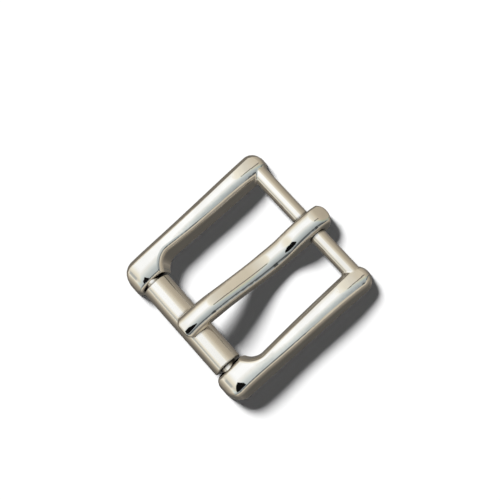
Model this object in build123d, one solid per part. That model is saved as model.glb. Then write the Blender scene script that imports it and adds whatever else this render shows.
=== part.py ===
"""Cast roller buckle for a 32 mm strap: a frame with two bars, a roller and a tongue, in millimetres.

The tables are measured from the roller's axis: X runs along the bars, Y runs from the roller
to the hinge bar, and Z is up from the surface that the buckle lies on. The last step moves every
piece so that the origin is the middle of the whole buckle's footprint.
"""

from build123d import *

import os
from math import hypot, sqrt

# Frame arms, plan sizes at the widest level of the wall
FOOT_END_Y = -6.1
HINGE_END_Y = 47.4
FOOT_INNER_X = 16.3
FOOT_OUTER_X = 26.0
WAIST_OUTER_X = 26.2
WAIST_Y = 20.0
HINGE_OUTER_X = 26.6
HINGE_INNER_X = 18.3
MIDDLE_INNER_X = 18.6
MIDDLE_Y = 24.0
FOOT_CORNER_R = 5.1
FOOT_INNER_CORNER_R = 2.2
HINGE_CORNER_R = 4.1
FLARE_X = 14.3
FLARE_Y = 9.6
FLARE_R = 4.8
ARM_STOCK_X = 12.0

# Frame arms, section sizes
WALL_BASE_Z = 1.0
WALL_DRAFT_DEG = 9.0
BLANK_TOP_Z = 10.0
ROLLER_SIDE_LENGTH = 30.0
UPRIGHT_EDGE_Z = 0.5
RIDGE_FROM_X = 0.4
ARM_TOP_FILLET = 2.0
ARM_BOTTOM_FILLET = 0.7

# Crown of an arm: ridge line and height at each station
ARM_CROWN = [
    # y, ridge_x, top_z, crown_r
    (-7.4, 21.3, 0.6, 11.0),
    (-6.2, 21.3, 3.8, 11.0),
    (-4.8, 21.3, 5.8, 11.5),
    (-2.2, 21.3, 7.4, 12.0),
    (2.0, 21.3, 8.2, 12.0),
    (7.0, 21.7, 8.1, 10.0),
    (13.0, 22.4, 7.6, 7.2),
    (20.0, 22.6, 7.3, 6.2),
    (30.0, 22.6, 7.35, 6.0),
    (36.0, 22.6, 7.15, 6.0),
    (40.0, 22.6, 6.7, 6.0),
    (43.7, 22.6, 5.95, 6.0),
    (47.0, 22.6, 4.85, 6.0),
    (50.0, 22.6, 3.4, 6.0),
]
CROWN_HALF_WIDTH = 5.6
CROWN_FLOOR_Z = -6.0

# Bars
HINGE_BAR_Y = 43.7
HINGE_BAR_Z = 3.0
HINGE_BAR_D = 4.9
HINGE_BAR_FILLET = 0.9
ROLLER_BAR_D = 5.2
BAR_END_X = 21.0
BAR_EDGE_TOLERANCE = 0.02

# Roller
ROLLER_D = 8.8
ROLLER_BORE_D = 5.32
ROLLER_LENGTH = 31.3
ROLLER_EDGE_FILLET = 0.35
ROLLER_Z = 4.43

# Tongue, along its own axis, which is a little off square as on the real casting
TONGUE_AT_HINGE_X = 1.8
TONGUE_SKEW_DEG = 1.7
TONGUE_TIP_Y = -3.0
TONGUE_END_Y = 50.4
TONGUE_HALF_WIDTH = 3.75
TIP_CORNER_R = 2.7
EYE_CORNER_R = 3.5
EYE_BORE_D = 5.06
EYE_SLOT_Y = (42.4, 45.0)
EYE_SLOT_TOP_Z = 2.0
HEEL_Z = 0.2
HEEL_FILLET = 1.2
TONGUE_TOP_FILLET = 1.05
TONGUE_CROWN_RISE = 0.9
TONGUE_BLOCK_TOP_Z = 14.0
TONGUE_SECTIONS = [
    # y, bottom_z, shoulder_z, bottom_half_width, top_half_width
    (-4.5, 8.5, 9.15, 3.6, 3.1),
    (-1.5, 8.87, 9.7, 3.6, 3.1),
    (1.5, 8.87, 10.35, 3.6, 3.1),
    (4.5, 8.8, 10.6, 3.6, 3.1),
    (8.0, 8.3, 10.35, 3.6, 3.1),
    (12.0, 7.2, 9.35, 3.5, 3.05),
    (16.0, 5.8, 8.0, 3.5, 3.05),
    (20.0, 4.3, 6.5, 3.5, 3.1),
    (24.0, 2.9, 5.15, 3.6, 3.15),
    (28.0, 2.0, 4.3, 3.7, 3.2),
    (31.5, 1.7, 4.1, 3.7, 3.2),
    (34.0, 1.6, 4.6, 3.7, 3.2),
    (37.5, 1.0, 6.0, 3.7, 3.2),
    (40.5, 0.2, 6.6, 3.7, 3.2),
    (43.7, -0.5, 6.6, 3.7, 3.2),
    (47.5, -0.5, 5.9, 3.7, 3.2),
    (52.0, -0.5, 3.9, 3.7, 3.2),
]

# Origin: the middle of the footprint in Y
ORIGIN_Y = (FOOT_END_Y + TONGUE_END_Y) / 2


def arm_outline():
    """Plan outline of the right arm at its widest level, as a face at that height."""
    foot_c = (FOOT_OUTER_X - FOOT_CORNER_R, FOOT_END_Y + FOOT_CORNER_R)
    flare_end_y = FLARE_Y - FLARE_R
    hinge_straight_y = HINGE_END_Y - HINGE_CORNER_R
    with BuildSketch(Plane.XY.offset(WALL_BASE_Z)) as sketch:
        with BuildLine():
            Line((ARM_STOCK_X, flare_end_y), (ARM_STOCK_X, FOOT_END_Y))
            Line((ARM_STOCK_X, FOOT_END_Y), (foot_c[0], FOOT_END_Y))
            RadiusArc((foot_c[0], FOOT_END_Y), (FOOT_OUTER_X, foot_c[1]), -FOOT_CORNER_R)
            ThreePointArc(
                (FOOT_OUTER_X, foot_c[1]),
                (WAIST_OUTER_X, WAIST_Y),
                (HINGE_OUTER_X, hinge_straight_y),
            )
            RadiusArc(
                (HINGE_OUTER_X, hinge_straight_y),
                (HINGE_OUTER_X - HINGE_CORNER_R, HINGE_END_Y),
                -HINGE_CORNER_R,
            )
            Line(
                (HINGE_OUTER_X - HINGE_CORNER_R, HINGE_END_Y),
                (HINGE_INNER_X + HINGE_CORNER_R, HINGE_END_Y),
            )
            RadiusArc(
                (HINGE_INNER_X + HINGE_CORNER_R, HINGE_END_Y),
                (HINGE_INNER_X, hinge_straight_y),
                -HINGE_CORNER_R,
            )
            ThreePointArc(
                (HINGE_INNER_X, hinge_straight_y),
                (MIDDLE_INNER_X, MIDDLE_Y),
                (FLARE_X + FLARE_R, FLARE_Y),
            )
            RadiusArc((FLARE_X + FLARE_R, FLARE_Y), (FLARE_X, flare_end_y), FLARE_R)
            Line((FLARE_X, flare_end_y), (ARM_STOCK_X, flare_end_y))
        make_face()
    return sketch.sketch


def arm_crown():
    """Solid whose top is the crown of an arm, lofted through arcs across it."""
    sections = []
    for y, ridge_x, top_z, crown_r in ARM_CROWN:
        edge_z = top_z - crown_r + sqrt(crown_r**2 - CROWN_HALF_WIDTH**2)
        low, high = ridge_x - CROWN_HALF_WIDTH, ridge_x + CROWN_HALF_WIDTH
        with BuildSketch(Plane((0, y, 0), x_dir=(1, 0, 0), z_dir=(0, -1, 0))) as sketch:
            with BuildLine():
                Polyline((low, edge_z), (low, CROWN_FLOOR_Z), (high, CROWN_FLOOR_Z), (high, edge_z))
                ThreePointArc((high, edge_z), (ridge_x, top_z), (low, edge_z))
            make_face()
        sections.append(sketch.sketch)
    return loft(sections)


def upper_face(solid):
    """The largest face that looks up."""
    upward = [f for f in solid.faces() if f.normal_at().Z > 0.5]
    return max(upward, key=lambda f: f.area)


def is_front_corner(edge):
    """True for the upright edges where an arm's inner face meets the foot's end."""
    upright = edge.bounding_box().size.Z > UPRIGHT_EDGE_Z
    near_inside = edge.center().X < FOOT_INNER_X + FOOT_INNER_CORNER_R
    near_end = edge.center().Y < FOOT_END_Y + FOOT_INNER_CORNER_R
    return upright and near_inside and near_end


def arm_blank():
    """Drafted arm with a plane inner face beside the roller, before its top is crowned."""
    outline = arm_outline()
    wall = extrude(outline, BLANK_TOP_Z - WALL_BASE_Z, taper=WALL_DRAFT_DEG)
    base = extrude(outline, -WALL_BASE_Z)
    roller_side = Box(2 * FOOT_INNER_X, ROLLER_SIDE_LENGTH, 4 * BLANK_TOP_Z)
    blank = wall + base - roller_side
    corner = [e for e in blank.edges() if is_front_corner(e)]
    return fillet(corner, FOOT_INNER_CORNER_R)


def right_arm():
    """Right arm: the blank under a low crown, with its top and bottom edges rounded."""
    arm = arm_blank() & arm_crown()
    ridges = [e for e in upper_face(arm).edges() if e.center().X > FOOT_INNER_X + RIDGE_FROM_X]
    arm = fillet(ridges, ARM_TOP_FILLET)
    rims = [e for e in arm.edges() if e.center().Z < 0.01]
    return fillet(rims, ARM_BOTTOM_FILLET)


def bar(y, z, diameter, half_length):
    """Round bar along X, centred on the buckle's middle plane."""
    return Pos(0, y, z) * Rot(0, 90, 0) * Cylinder(diameter / 2, 2 * half_length)


def is_hinge_bar_end(edge):
    """True for an edge where the hinge bar runs into an arm."""
    points = [edge.position_at(share) for share in (0, 0.25, 0.5, 0.75, 1)]
    distances = [hypot(p.Y - HINGE_BAR_Y, p.Z - HINGE_BAR_Z) for p in points]
    on_bar = all(abs(d - HINGE_BAR_D / 2) < BAR_EDGE_TOLERANCE for d in distances)
    return on_bar and abs(edge.center().X) > FLARE_X


def build_frame():
    """One casting: two arms joined by the hinge bar and by the bar inside the roller."""
    arm = right_arm()
    hinge_bar = bar(HINGE_BAR_Y, HINGE_BAR_Z, HINGE_BAR_D, BAR_END_X)
    frame = arm + mirror(arm, about=Plane.YZ) + hinge_bar
    frame = fillet([e for e in frame.edges() if is_hinge_bar_end(e)], HINGE_BAR_FILLET)
    return frame + bar(0, ROLLER_Z, ROLLER_BAR_D, BAR_END_X)


def build_roller():
    """Plain tube that turns on the roller bar, with its outer edges eased."""
    tube = bar(0, ROLLER_Z, ROLLER_D, ROLLER_LENGTH / 2)
    rims = tube.edges().filter_by(GeomType.CIRCLE)
    tube = fillet(rims, ROLLER_EDGE_FILLET)
    return tube - bar(0, ROLLER_Z, ROLLER_BORE_D, ROLLER_LENGTH)


def tongue_body():
    """S-bent tongue, lofted through trapezoid sections with an arched top."""
    sections = []
    for y, bottom_z, shoulder_z, bottom_half, top_half in TONGUE_SECTIONS:
        crown_z = shoulder_z + TONGUE_CROWN_RISE
        with BuildSketch(Plane((0, y, 0), x_dir=(1, 0, 0), z_dir=(0, -1, 0))) as sketch:
            with BuildLine():
                Polyline(
                    (-top_half, shoulder_z),
                    (-bottom_half, bottom_z),
                    (bottom_half, bottom_z),
                    (top_half, shoulder_z),
                )
                ThreePointArc((top_half, shoulder_z), (0, crown_z), (-top_half, shoulder_z))
            make_face()
        sections.append(sketch.sketch)
    return loft(sections)


def tongue_outline():
    """Upright block with the tongue's plan outline: a round tip and a rounder eye end."""
    middle = Pos(0, (TONGUE_TIP_Y + TONGUE_END_Y) / 2, (HEEL_Z + TONGUE_BLOCK_TOP_Z) / 2)
    length, height = TONGUE_END_Y - TONGUE_TIP_Y, TONGUE_BLOCK_TOP_Z - HEEL_Z
    block = middle * Box(2 * TONGUE_HALF_WIDTH, length, height)
    upright = block.edges().filter_by(Axis.Z).sort_by(Axis.Y)
    block = fillet(upright[:2], TIP_CORNER_R)
    upright = block.edges().filter_by(Axis.Z).sort_by(Axis.Y)
    return fillet(upright[-2:], EYE_CORNER_R)


def is_heel_edge(edge):
    """True for an edge round the bottom of the tongue's eye end."""
    return edge.center().Z < HEEL_Z + 0.01 and edge.center().Y > TONGUE_END_Y - EYE_CORNER_R


def build_tongue():
    """Tongue with its eye bored for the hinge bar and open below, as where it was closed on."""
    tongue = tongue_body() & tongue_outline()
    tongue = fillet(upper_face(tongue).edges(), TONGUE_TOP_FILLET)
    heel = [e for e in tongue.edges() if is_heel_edge(e)]
    tongue = fillet(heel, HEEL_FILLET)
    slot_low, slot_high = EYE_SLOT_Y
    slot_y = (slot_low + slot_high) / 2
    slot_half_z = EYE_SLOT_TOP_Z
    slot = Pos(0, slot_y, 0) * Box(20, slot_high - slot_low, 2 * slot_half_z)
    turn = Pos(TONGUE_AT_HINGE_X, HINGE_BAR_Y, 0) * Rot(0, 0, -TONGUE_SKEW_DEG)
    tongue = turn * Pos(0, -HINGE_BAR_Y, 0) * tongue
    return tongue - bar(HINGE_BAR_Y, HINGE_BAR_Z, EYE_BORE_D, 20) - slot


def write(node, solid):
    """Moves a piece to the buckle's origin and writes it under its node's name."""
    placed = Pos(0, -ORIGIN_Y, 0) * solid
    export_step(placed, os.path.join("parts", node + ".step"))
    print(node, "volume", round(placed.volume, 1), placed.bounding_box())


def main():
    """Builds and writes the three pieces."""
    os.makedirs("parts", exist_ok=True)
    write("frame", build_frame())
    write("roller", build_roller())
    write("tongue", build_tongue())


if __name__ == "__main__":
    main()
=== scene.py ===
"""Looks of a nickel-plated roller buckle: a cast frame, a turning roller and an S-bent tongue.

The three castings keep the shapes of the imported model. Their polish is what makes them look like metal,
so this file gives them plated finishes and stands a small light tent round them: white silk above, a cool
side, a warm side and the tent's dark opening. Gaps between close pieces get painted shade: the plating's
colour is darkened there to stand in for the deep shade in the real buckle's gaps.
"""

import logging
import math
from dataclasses import dataclass, field
from enum import Enum

import bpy
from mathutils import Matrix, Vector

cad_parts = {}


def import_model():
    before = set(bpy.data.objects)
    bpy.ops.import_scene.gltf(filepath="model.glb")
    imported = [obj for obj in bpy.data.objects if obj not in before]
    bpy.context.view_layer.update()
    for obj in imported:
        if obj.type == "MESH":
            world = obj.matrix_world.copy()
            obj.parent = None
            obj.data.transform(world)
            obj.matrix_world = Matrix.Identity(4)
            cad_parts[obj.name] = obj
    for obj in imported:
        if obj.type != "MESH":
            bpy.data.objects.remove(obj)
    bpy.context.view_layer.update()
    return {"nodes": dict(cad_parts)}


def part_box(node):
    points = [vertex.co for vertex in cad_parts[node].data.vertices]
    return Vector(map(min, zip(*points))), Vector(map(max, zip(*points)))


LOG = logging.getLogger("roller_buckle")
PICTURE_SIDE_PX = 500
MM = 0.001
HALF_TURN_DEG = 180.0
FULL_TURN_DEG = 360.0
TINY = 1e-5
OPAQUE = 1.0

Color = tuple[float, float, float]
Point = tuple[float, float, float]
Socket = bpy.types.NodeSocket


class Polish(Enum):
    """How far a plated surface was polished."""

    MIRROR = "mirror"
    SATIN = "satin"


class Tone(Enum):
    """Brightness and tint of the stretches of the light tent, in linear light."""

    LAMP = (1.40, 1.45, 1.52)
    SILK = (1.27, 1.32, 1.38)
    OFF_WHITE = (1.16, 1.19, 1.19)
    CREAM = (1.04, 1.01, 0.89)
    LINEN = (0.92, 0.89, 0.80)
    CHAMPAGNE = (0.76, 0.70, 0.58)
    SAND = (0.59, 0.53, 0.43)
    DARK_SAND = (0.40, 0.36, 0.30)
    PALE_GREY = (0.86, 0.93, 0.95)
    COOL_GREY = (0.69, 0.76, 0.79)
    BLUE_GREY = (0.55, 0.62, 0.65)
    SLATE = (0.41, 0.46, 0.49)
    TAUPE = (0.24, 0.22, 0.19)
    UMBER = (0.14, 0.13, 0.115)
    SOOT = (0.085, 0.084, 0.078)
    INK = (0.05, 0.056, 0.06)


class Sheet:
    """A shader's node tree with short ways to add nodes to it."""

    def __init__(self, tree: bpy.types.NodeTree) -> None:
        """Keeps the tree.

        Args:
            tree: The node tree to add to.
        """
        self.tree = tree

    def add(self, kind: str) -> bpy.types.Node:
        """Adds one node.

        Args:
            kind: The node's type name.

        Returns:
            The new node.
        """
        return self.tree.nodes.new(kind)

    def put(self, value: object, socket: Socket) -> None:
        """Sets a socket to a number or links another socket to it.

        Args:
            value: A number, or an output socket.
            socket: The input socket.
        """
        if isinstance(value, Socket):
            self.tree.links.new(value, socket)
        else:
            socket.default_value = value

    def math(self, operation: str, first: float | Socket, second: float | Socket = 0.0) -> Socket:
        """Adds a Math node.

        Args:
            operation: The node's operation.
            first: A number or socket.
            second: A number or socket.

        Returns:
            The result's socket.
        """
        node = self.add("ShaderNodeMath")
        node.operation = operation
        self.put(first, node.inputs[0])
        self.put(second, node.inputs[1])
        return node.outputs[0]

    def spread(self, value: Socket, low: tuple[float, float], high: tuple[float, float]) -> Socket:
        """Adds a smooth Map Range node.

        Args:
            value: The socket to map.
            low: The lowest value and what it becomes.
            high: The highest value and what it becomes.

        Returns:
            The result's socket.
        """
        node = self.add("ShaderNodeMapRange")
        node.interpolation_type = "SMOOTHSTEP"
        self.put(value, node.inputs["Value"])
        self.put(low[0], node.inputs["From Min"])
        self.put(high[0], node.inputs["From Max"])
        self.put(low[1], node.inputs["To Min"])
        self.put(high[1], node.inputs["To Max"])
        return node.outputs["Result"]

    def blend(self, how: str, share: float | Socket, under: object, over: object) -> Socket:
        """Adds a colour Mix node.

        Args:
            how: The blend type.
            share: How much of the upper colour is taken.
            under: The lower colour, a socket or four numbers.
            over: The upper colour, a socket or four numbers.

        Returns:
            The result's socket.
        """
        node = self.add("ShaderNodeMix")
        node.data_type = "RGBA"
        node.blend_type = how
        self.put(share, node.inputs[0])
        self.put(under, node.inputs[6])
        self.put(over, node.inputs[7])
        return node.outputs[2]


@dataclass(frozen=True)
class CameraPlace:
    """Where the camera stands and how it is turned, in the buckle's frame."""

    position: Point = (0.056103, 0.000478, 0.300011)
    right: Point = (0.66320315, 0.73821095, -0.12331333)
    up: Point = (-0.72086574, 0.67434984, 0.16001526)
    back: Point = (0.20128134, -0.01723027, 0.97938192)
    focal_px: float = 1052.0
    centre_px: tuple[float, float] = (253.0, 247.0)
    sensor_mm: float = 36.0
    near_m: float = 0.01
    far_m: float = 20.0

    def build(self) -> bpy.types.Object:
        """Makes the camera and sets it as the scene's camera.

        Returns:
            The camera object.
        """
        data = bpy.data.cameras.new("camera")
        data.sensor_width = self.sensor_mm
        data.lens = self.focal_px / PICTURE_SIDE_PX * self.sensor_mm
        half = PICTURE_SIDE_PX / 2
        data.shift_x = (half - self.centre_px[0]) / PICTURE_SIDE_PX
        data.shift_y = (self.centre_px[1] - half) / PICTURE_SIDE_PX
        data.clip_start = self.near_m
        data.clip_end = self.far_m
        camera = bpy.data.objects.new("camera", data)
        turn = Matrix((self.right, self.up, self.back)).transposed()
        camera.matrix_world = Matrix.Translation(self.position) @ turn.to_4x4()
        bpy.context.scene.collection.objects.link(camera)
        bpy.context.scene.camera = camera
        return camera


@dataclass(frozen=True)
class TentStop:
    """The tent's tone at one lean from straight up, in degrees."""

    lean: float
    tone: Tone
    gain: float = 1.0


@dataclass(frozen=True)
class TentPatch:
    """A soft-edged patch on the tent. Its middle leans from straight up towards +X and +Y, in degrees."""

    name: str
    lean_x: float
    lean_y: float
    half_x: float
    half_y: float
    softness: float
    tone: Tone
    share: float


@dataclass(frozen=True)
class LightTent:
    """The pale surroundings that the plating mirrors."""

    across: tuple[TentStop, ...] = (
        TentStop(-180, Tone.UMBER),
        TentStop(-120, Tone.TAUPE, 0.92),
        TentStop(-64, Tone.TAUPE),
        TentStop(-56, Tone.SAND, 1.15),
        TentStop(-49, Tone.CREAM),
        TentStop(-40, Tone.OFF_WHITE),
        TentStop(-31, Tone.SILK),
        TentStop(-13, Tone.SILK),
        TentStop(-5, Tone.OFF_WHITE, 0.93),
        TentStop(3, Tone.PALE_GREY),
        TentStop(10, Tone.COOL_GREY, 0.97),
        TentStop(17, Tone.BLUE_GREY),
        TentStop(27, Tone.SLATE),
        TentStop(30, Tone.INK, 1.8),
        TentStop(33, Tone.INK, 2.0),
        TentStop(36, Tone.SLATE),
        TentStop(41, Tone.CHAMPAGNE),
        TentStop(52, Tone.CHAMPAGNE),
        TentStop(62, Tone.DARK_SAND),
        TentStop(78, Tone.TAUPE, 1.35),
        TentStop(98, Tone.TAUPE, 0.88),
        TentStop(125, Tone.UMBER),
        TentStop(180, Tone.SOOT),
    )
    along: tuple[TentStop, ...] = (
        TentStop(-180, Tone.SOOT, 1.2),
        TentStop(-125, Tone.UMBER, 1.1),
        TentStop(-104, Tone.TAUPE),
        TentStop(-88, Tone.DARK_SAND),
        TentStop(-76, Tone.CHAMPAGNE, 0.85),
        TentStop(-65, Tone.CREAM, 1.1),
        TentStop(-59, Tone.LINEN),
        TentStop(-53, Tone.LINEN, 0.88),
        TentStop(-42, Tone.CREAM, 1.05),
        TentStop(-30, Tone.SILK, 0.95),
        TentStop(-12, Tone.LAMP),
        TentStop(9, Tone.LAMP),
        TentStop(16, Tone.CREAM, 1.04),
        TentStop(25, Tone.LINEN, 0.97),
        TentStop(36, Tone.CHAMPAGNE, 1.06),
        TentStop(52, Tone.SAND, 1.03),
        TentStop(80, Tone.SAND, 0.85),
        TentStop(105, Tone.DARK_SAND, 0.9),
        TentStop(135, Tone.TAUPE),
        TentStop(180, Tone.SOOT, 1.2),
    )
    patches: tuple[TentPatch, ...] = (
        TentPatch("strap of the tent", 0.0, 33.0, 2.2, 14.0, 2.5, Tone.INK, 0.85),
        TentPatch("clip of the tent", 33.0, 10.0, 6.0, 4.0, 3.0, Tone.INK, 0.85),
        TentPatch("grey sheet", -20.0, -58.0, 13.0, 6.0, 5.0, Tone.SLATE, 0.7),
    )

    def build(self) -> bpy.types.World:
        """Makes the tent as the scene's world. It lights nothing: only the plating mirrors it.

        Returns:
            The world.
        """
        world = bpy.data.worlds.new("light_tent")
        bpy.context.scene.world = world
        world.use_nodes = True
        world.node_tree.nodes.clear()
        sheet = Sheet(world.node_tree)
        output = sheet.add("ShaderNodeOutputWorld")
        background = sheet.add("ShaderNodeBackground")
        sheet.put(background.outputs[0], output.inputs[0])
        lean_x, lean_y = self._leans(sheet)
        across = self._ramp(sheet, lean_x, self.across)
        along = self._ramp(sheet, lean_y, self.along)
        color = sheet.blend("DARKEN", 1.0, across, along)
        for patch in self.patches:
            color = self._lay(sheet, patch, lean_x, lean_y, color)
        sheet.put(color, background.inputs[0])
        world.cycles_visibility.diffuse = False
        return world

    def _leans(self, sheet: Sheet) -> tuple[Socket, Socket]:
        """Works out a direction's lean from straight up, split along X and Y.

        Args:
            sheet: The world's node sheet.

        Returns:
            The two leans in degrees.
        """
        coordinates = sheet.add("ShaderNodeTexCoord")
        parts = sheet.add("ShaderNodeSeparateXYZ")
        sheet.put(coordinates.outputs["Generated"], parts.inputs[0])
        x, y, z = parts.outputs
        lean = sheet.math("MULTIPLY", sheet.math("ARCCOSINE", z), HALF_TURN_DEG / math.pi)
        squares = sheet.math("ADD", sheet.math("MULTIPLY", x, x), sheet.math("MULTIPLY", y, y))
        flat = sheet.math("SQRT", squares)
        per_unit = sheet.math("DIVIDE", lean, sheet.math("MAXIMUM", flat, TINY))
        return sheet.math("MULTIPLY", per_unit, x), sheet.math("MULTIPLY", per_unit, y)

    def _ramp(self, sheet: Sheet, lean: Socket, stops: tuple[TentStop, ...]) -> Socket:
        """Adds the tones along one direction.

        Args:
            sheet: The world's node sheet.
            lean: The lean in degrees, from -180 to 180.
            stops: The tones in order.

        Returns:
            The colour's socket.
        """
        ramp = sheet.add("ShaderNodeValToRGB")
        elements = ramp.color_ramp.elements
        while len(elements) > 1:
            elements.remove(elements[-1])
        for number, stop in enumerate(stops):
            place = (stop.lean + HALF_TURN_DEG) / FULL_TURN_DEG
            element = elements[0] if number == 0 else elements.new(place)
            element.position = place
            element.color = (*[stop.gain * part for part in stop.tone.value], OPAQUE)
        place_now = sheet.math("DIVIDE", sheet.math("ADD", lean, HALF_TURN_DEG), FULL_TURN_DEG)
        sheet.put(place_now, ramp.inputs[0])
        return ramp.outputs[0]

    def _lay(self, sheet: Sheet, patch: TentPatch, lean_x: Socket, lean_y: Socket, under: Socket) -> Socket:
        """Lays one patch over the tent.

        Args:
            sheet: The world's node sheet.
            patch: The patch.
            lean_x: The lean towards +X in degrees.
            lean_y: The lean towards +Y in degrees.
            under: The colour so far.

        Returns:
            The colour with the patch.
        """
        soft = patch.softness / 2
        share = patch.share
        sides = ((lean_x, patch.lean_x, patch.half_x), (lean_y, patch.lean_y, patch.half_y))
        for lean, middle, half in sides:
            off = sheet.math("ABSOLUTE", sheet.math("SUBTRACT", lean, middle))
            inside = sheet.spread(off, (half - soft, 1.0), (half + soft, 0.0))
            share = sheet.math("MULTIPLY", inside, share)
        return sheet.blend("MIX", share, under, (*patch.tone.value, OPAQUE))


@dataclass(frozen=True)
class TentOpening:
    """The dark opening of the tent, a flat shape above the foot side. Only the plating sees it."""

    height_mm: float = 158.0
    outline_mm: tuple[tuple[float, float], ...] = (
        (5, -117),
        (21, -100),
        (44, -79),
        (60, -78),
        (71, -98),
        (91, -150),
        (86, -205),
        (92, -310),
        (53, -236),
        (15, -164),
    )

    room_glow: Color = (0.006, 0.006, 0.006)

    def build(self) -> bpy.types.Object:
        """Makes the opening as one flat face.

        Returns:
            The staged object.
        """
        mesh = bpy.data.meshes.new("tent_opening")
        corners = [(x * MM, y * MM, self.height_mm * MM) for x, y in self.outline_mm]
        mesh.from_pydata(corners, [], [tuple(range(len(corners)))])
        opening = bpy.data.objects.new("tent_opening", mesh)
        opening.data.materials.append(self._dark_room())
        opening.visible_camera = False
        opening.visible_diffuse = False
        opening.visible_shadow = False
        bpy.context.scene.collection.objects.link(opening)
        return opening

    def _dark_room(self) -> bpy.types.Material:
        """Makes the dark room behind the opening.

        Returns:
            The material.
        """
        material = bpy.data.materials.new("dark_room")
        material.use_nodes = True
        material.node_tree.nodes.clear()
        sheet = Sheet(material.node_tree)
        output = sheet.add("ShaderNodeOutputMaterial")
        glow = sheet.add("ShaderNodeEmission")
        sheet.put((*self.room_glow, OPAQUE), glow.inputs["Color"])
        sheet.put(glow.outputs[0], output.inputs["Surface"])
        return material


@dataclass(frozen=True)
class Table:
    """The pale table that the buckle lies on."""

    side_m: float = 6.0
    below_m: float = 0.00002
    albedo: float = 0.9

    def build(self) -> bpy.types.Object:
        """Makes the table. The plating doesn't mirror it, so that the walls stay calm.

        Returns:
            The staged object.
        """
        half = self.side_m / 2
        mesh = bpy.data.meshes.new("table")
        corners = [(-half, -half), (half, -half), (half, half), (-half, half)]
        mesh.from_pydata([(x, y, -self.below_m) for x, y in corners], [], [(0, 1, 2, 3)])
        table = bpy.data.objects.new("table", mesh)
        material = bpy.data.materials.new("pale_table")
        material.use_nodes = True
        shader = material.node_tree.nodes["Principled BSDF"]
        shader.inputs["Base Color"].default_value = (self.albedo, self.albedo, self.albedo, OPAQUE)
        shader.inputs["Roughness"].default_value = 1.0
        shader.inputs["Specular IOR Level"].default_value = 0.0
        table.data.materials.append(material)
        table.visible_glossy = False
        bpy.context.scene.collection.objects.link(table)
        return table


@dataclass(frozen=True)
class SoftLamp:
    """The broad lamp, which throws the soft shadow towards +X, and its weak fill."""

    height_deg: float = 43.0
    width_deg: float = 17.0
    strength: float = 5.0
    from_side: Point = (-1.0, 0.0, 0.0)
    fill_strength: float = 0.26

    def build(self) -> tuple[bpy.types.Object, bpy.types.Object]:
        """Makes the lamp and a weak shadowless fill. They light the table, and the plating mirrors the tent.

        Returns:
            The two lamp objects.
        """
        fill_data = bpy.data.lights.new("fill", "SUN")
        fill_data.energy = self.fill_strength
        fill_data.use_shadow = False
        fill = bpy.data.objects.new("fill", fill_data)
        fill.visible_glossy = False
        bpy.context.scene.collection.objects.link(fill)
        data = bpy.data.lights.new("soft_lamp", "SUN")
        data.energy = self.strength
        data.angle = math.radians(self.width_deg)
        lamp = bpy.data.objects.new("soft_lamp", data)
        height = math.radians(self.height_deg)
        toward = Vector(self.from_side) * math.cos(height) + Vector((0, 0, math.sin(height)))
        lamp.rotation_mode = "QUATERNION"
        lamp.rotation_quaternion = toward.to_track_quat("Z", "Y")
        lamp.visible_glossy = False
        bpy.context.scene.collection.objects.link(lamp)
        return lamp, fill


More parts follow.
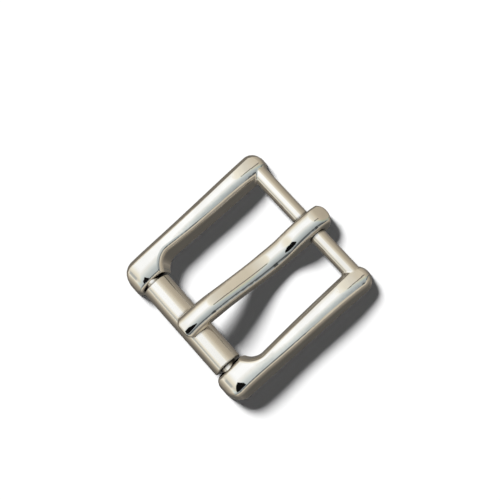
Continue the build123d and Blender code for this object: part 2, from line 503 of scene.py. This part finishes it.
@dataclass(frozen=True)
class NickelPlate:
    """Nickel plating: its tone, its polish, the faint waves and marks that polishing leaves, and painted
    shade in gaps.
    """

    name: str
    polish: Polish
    pale: Color = (0.785, 0.755, 0.705)
    warm: Color = (0.735, 0.705, 0.655)
    smooth: float = 0.02
    rough: float = 0.055
    cloud_per_m: float = 160.0
    cloud_detail: float = 2.0
    cloud_span: tuple[float, float] = (0.3, 0.7)
    wave_per_m: float = 240.0
    wave_depth_mm: float = 0.02
    wave_detail: float = 1.0
    mark_per_m: float = 3600.0
    mark_depth_mm: float = 0.0012
    mark_detail: float = 3.0
    mark_span: tuple[float, float] = (0.25, 0.75)
    stretch: Point = (1.0, 1.0, 1.0)
    # Painted shade: the plating's colour darkens to a near-black tone where another piece is within this
    # reach.
    gap_shade_reach_mm: float = 1.4
    gap_shade_samples: int = 8
    gap_shade_span: tuple[float, float] = (0.55, 0.9)
    painted_gap_shade_tone: Color = (0.03, 0.028, 0.024)

    def make(self) -> bpy.types.Material:
        """Makes the material.

        Returns:
            The material.
        """
        material = bpy.data.materials.new(self.name)
        material.use_nodes = True
        sheet = Sheet(material.node_tree)
        shader = material.node_tree.nodes["Principled BSDF"]
        shader.inputs["Metallic"].default_value = 1.0
        place = self._place(sheet)
        clouds = self._noise(sheet, place, self.cloud_per_m, self.cloud_detail)
        share = sheet.spread(clouds, (self.cloud_span[0], 0.0), (self.cloud_span[1], 1.0))
        color = sheet.blend("MIX", share, (*self.pale, OPAQUE), (*self.warm, OPAQUE))
        # The base colour carries painted shade in the gaps between pieces.
        sheet.put(self._paint_gap_shade(sheet, color), shader.inputs["Base Color"])
        marks = self._noise(sheet, place, self.mark_per_m, self.mark_detail)
        low, high = (self.mark_span[0], self.smooth), (self.mark_span[1], self.rough)
        sheet.put(sheet.spread(marks, low, high), shader.inputs["Roughness"])
        waves = self._noise(sheet, place, self.wave_per_m, self.wave_detail)
        waved = self._bump(sheet, waves, self.wave_depth_mm, None)
        sheet.put(self._bump(sheet, marks, self.mark_depth_mm, waved), shader.inputs["Normal"])
        return material

    def _place(self, sheet: Sheet) -> Socket:
        """Gives the place on the casting, drawn out along the polishing direction.

        Args:
            sheet: The material's node sheet.

        Returns:
            The vector's socket.
        """
        coordinates = sheet.add("ShaderNodeTexCoord")
        stretch = sheet.add("ShaderNodeMapping")
        sheet.put(coordinates.outputs["Object"], stretch.inputs["Vector"])
        sheet.put(self.stretch, stretch.inputs["Scale"])
        return stretch.outputs[0]

    def _paint_gap_shade(self, sheet: Sheet, color: Socket) -> Socket:
        """Paints shade into the colour where another piece is very close, as in the gaps beside the roller.

        Args:
            sheet: The material's node sheet.
            color: The plating's colour.

        Returns:
            The colour with painted shade in the gaps.
        """
        # Painted shade: ambient occlusion mixes the base colour towards a near-black tone in close gaps.
        occlusion_for_shade = sheet.add("ShaderNodeAmbientOcclusion")
        occlusion_for_shade.samples = self.gap_shade_samples
        sheet.put(self.gap_shade_reach_mm * MM, occlusion_for_shade.inputs["Distance"])
        low, high = (self.gap_shade_span[0], 0.0), (self.gap_shade_span[1], 1.0)
        unshaded_share = sheet.spread(occlusion_for_shade.outputs["AO"], low, high)
        return sheet.blend("MIX", unshaded_share, (*self.painted_gap_shade_tone, OPAQUE), color)

    def _noise(self, sheet: Sheet, place: Socket, per_m: float, detail: float) -> Socket:
        """Adds a cloudy pattern.

        Args:
            sheet: The material's node sheet.
            place: The place on the casting.
            per_m: How many clouds there are to a metre.
            detail: How much fine structure the clouds have.

        Returns:
            The pattern's socket, from 0 to 1.
        """
        noise = sheet.add("ShaderNodeTexNoise")
        sheet.put(place, noise.inputs["Vector"])
        sheet.put(per_m, noise.inputs["Scale"])
        sheet.put(detail, noise.inputs["Detail"])
        return noise.outputs["Fac"]

    def _bump(self, sheet: Sheet, pattern: Socket, depth_mm: float, under: Socket | None) -> Socket:
        """Raises a pattern on the surface.

        Args:
            sheet: The material's node sheet.
            pattern: The pattern's socket.
            depth_mm: The pattern's depth.
            under: The surface so far, or None for the bare one.

        Returns:
            The surface direction's socket.
        """
        bump = sheet.add("ShaderNodeBump")
        sheet.put(1.0, bump.inputs["Strength"])
        sheet.put(depth_mm * MM, bump.inputs["Distance"])
        sheet.put(pattern, bump.inputs["Height"])
        if under is not None:
            sheet.put(under, bump.inputs["Normal"])
        return bump.outputs[0]


MIRROR_FRAME = NickelPlate("mirror_nickel_frame", Polish.MIRROR)
MIRROR_TONGUE = NickelPlate("mirror_nickel_tongue", Polish.MIRROR, wave_per_m=280.0)
SATIN_ROLLER = NickelPlate(
    "satin_nickel_roller",
    Polish.SATIN,
    smooth=0.1,
    rough=0.19,
    wave_depth_mm=0.004,
    mark_per_m=900.0,
    mark_depth_mm=0.004,
    stretch=(0.06, 1.0, 1.0),
)


@dataclass
class Casting:
    """One piece of the buckle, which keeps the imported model's shape and gets its plating."""

    node: str
    slot: str
    finish: NickelPlate
    size_mm: Point = field(default=(0.0, 0.0, 0.0))

    def measure(self) -> None:
        """Reads the piece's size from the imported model."""
        low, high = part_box(self.node)
        self.size_mm = tuple(round((b - a) / MM, 2) for a, b in zip(low, high))

    def dress(self, shape: bpy.types.Object) -> bpy.types.Object:
        """Gives the piece its plating. The table doesn't see it, so that the shadow stays neutral.

        Args:
            shape: The piece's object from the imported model.

        Returns:
            The same object.
        """
        self.measure()
        shape.data.materials.clear()
        shape.data.materials.append(self.finish.make())
        shape.visible_diffuse = False
        LOG.info("%s: %s finish, size %s mm", self.node, self.finish.polish.value, self.size_mm)
        return shape


@dataclass
class CastFrame(Casting):
    """The frame: two crowned arms, the hinge bar and the bar inside the roller."""

    node: str = "frame"
    slot: str = "frame_nickel"
    finish: NickelPlate = MIRROR_FRAME


@dataclass
class TurningRoller(Casting):
    """The tube that turns between the feet of the arms."""

    node: str = "roller"
    slot: str = "roller_nickel"
    finish: NickelPlate = SATIN_ROLLER


@dataclass
class BentTongue(Casting):
    """The S-bent tongue, whose tip lies on the roller."""

    node: str = "tongue"
    slot: str = "tongue_nickel"
    finish: NickelPlate = MIRROR_TONGUE


def main() -> None:
    """Builds the camera, the light tent, the table and the three castings in order."""
    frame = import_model()
    CameraPlace().build()
    LightTent().build()
    TentOpening().build()
    Table().build()
    SoftLamp().build()
    for casting in (CastFrame(), TurningRoller(), BentTongue()):
        casting.dress(frame["nodes"][casting.node])
    bpy.context.scene.view_settings.view_transform = "Standard"


if __name__ == "__main__":
    logging.basicConfig(level=logging.INFO)
    main()
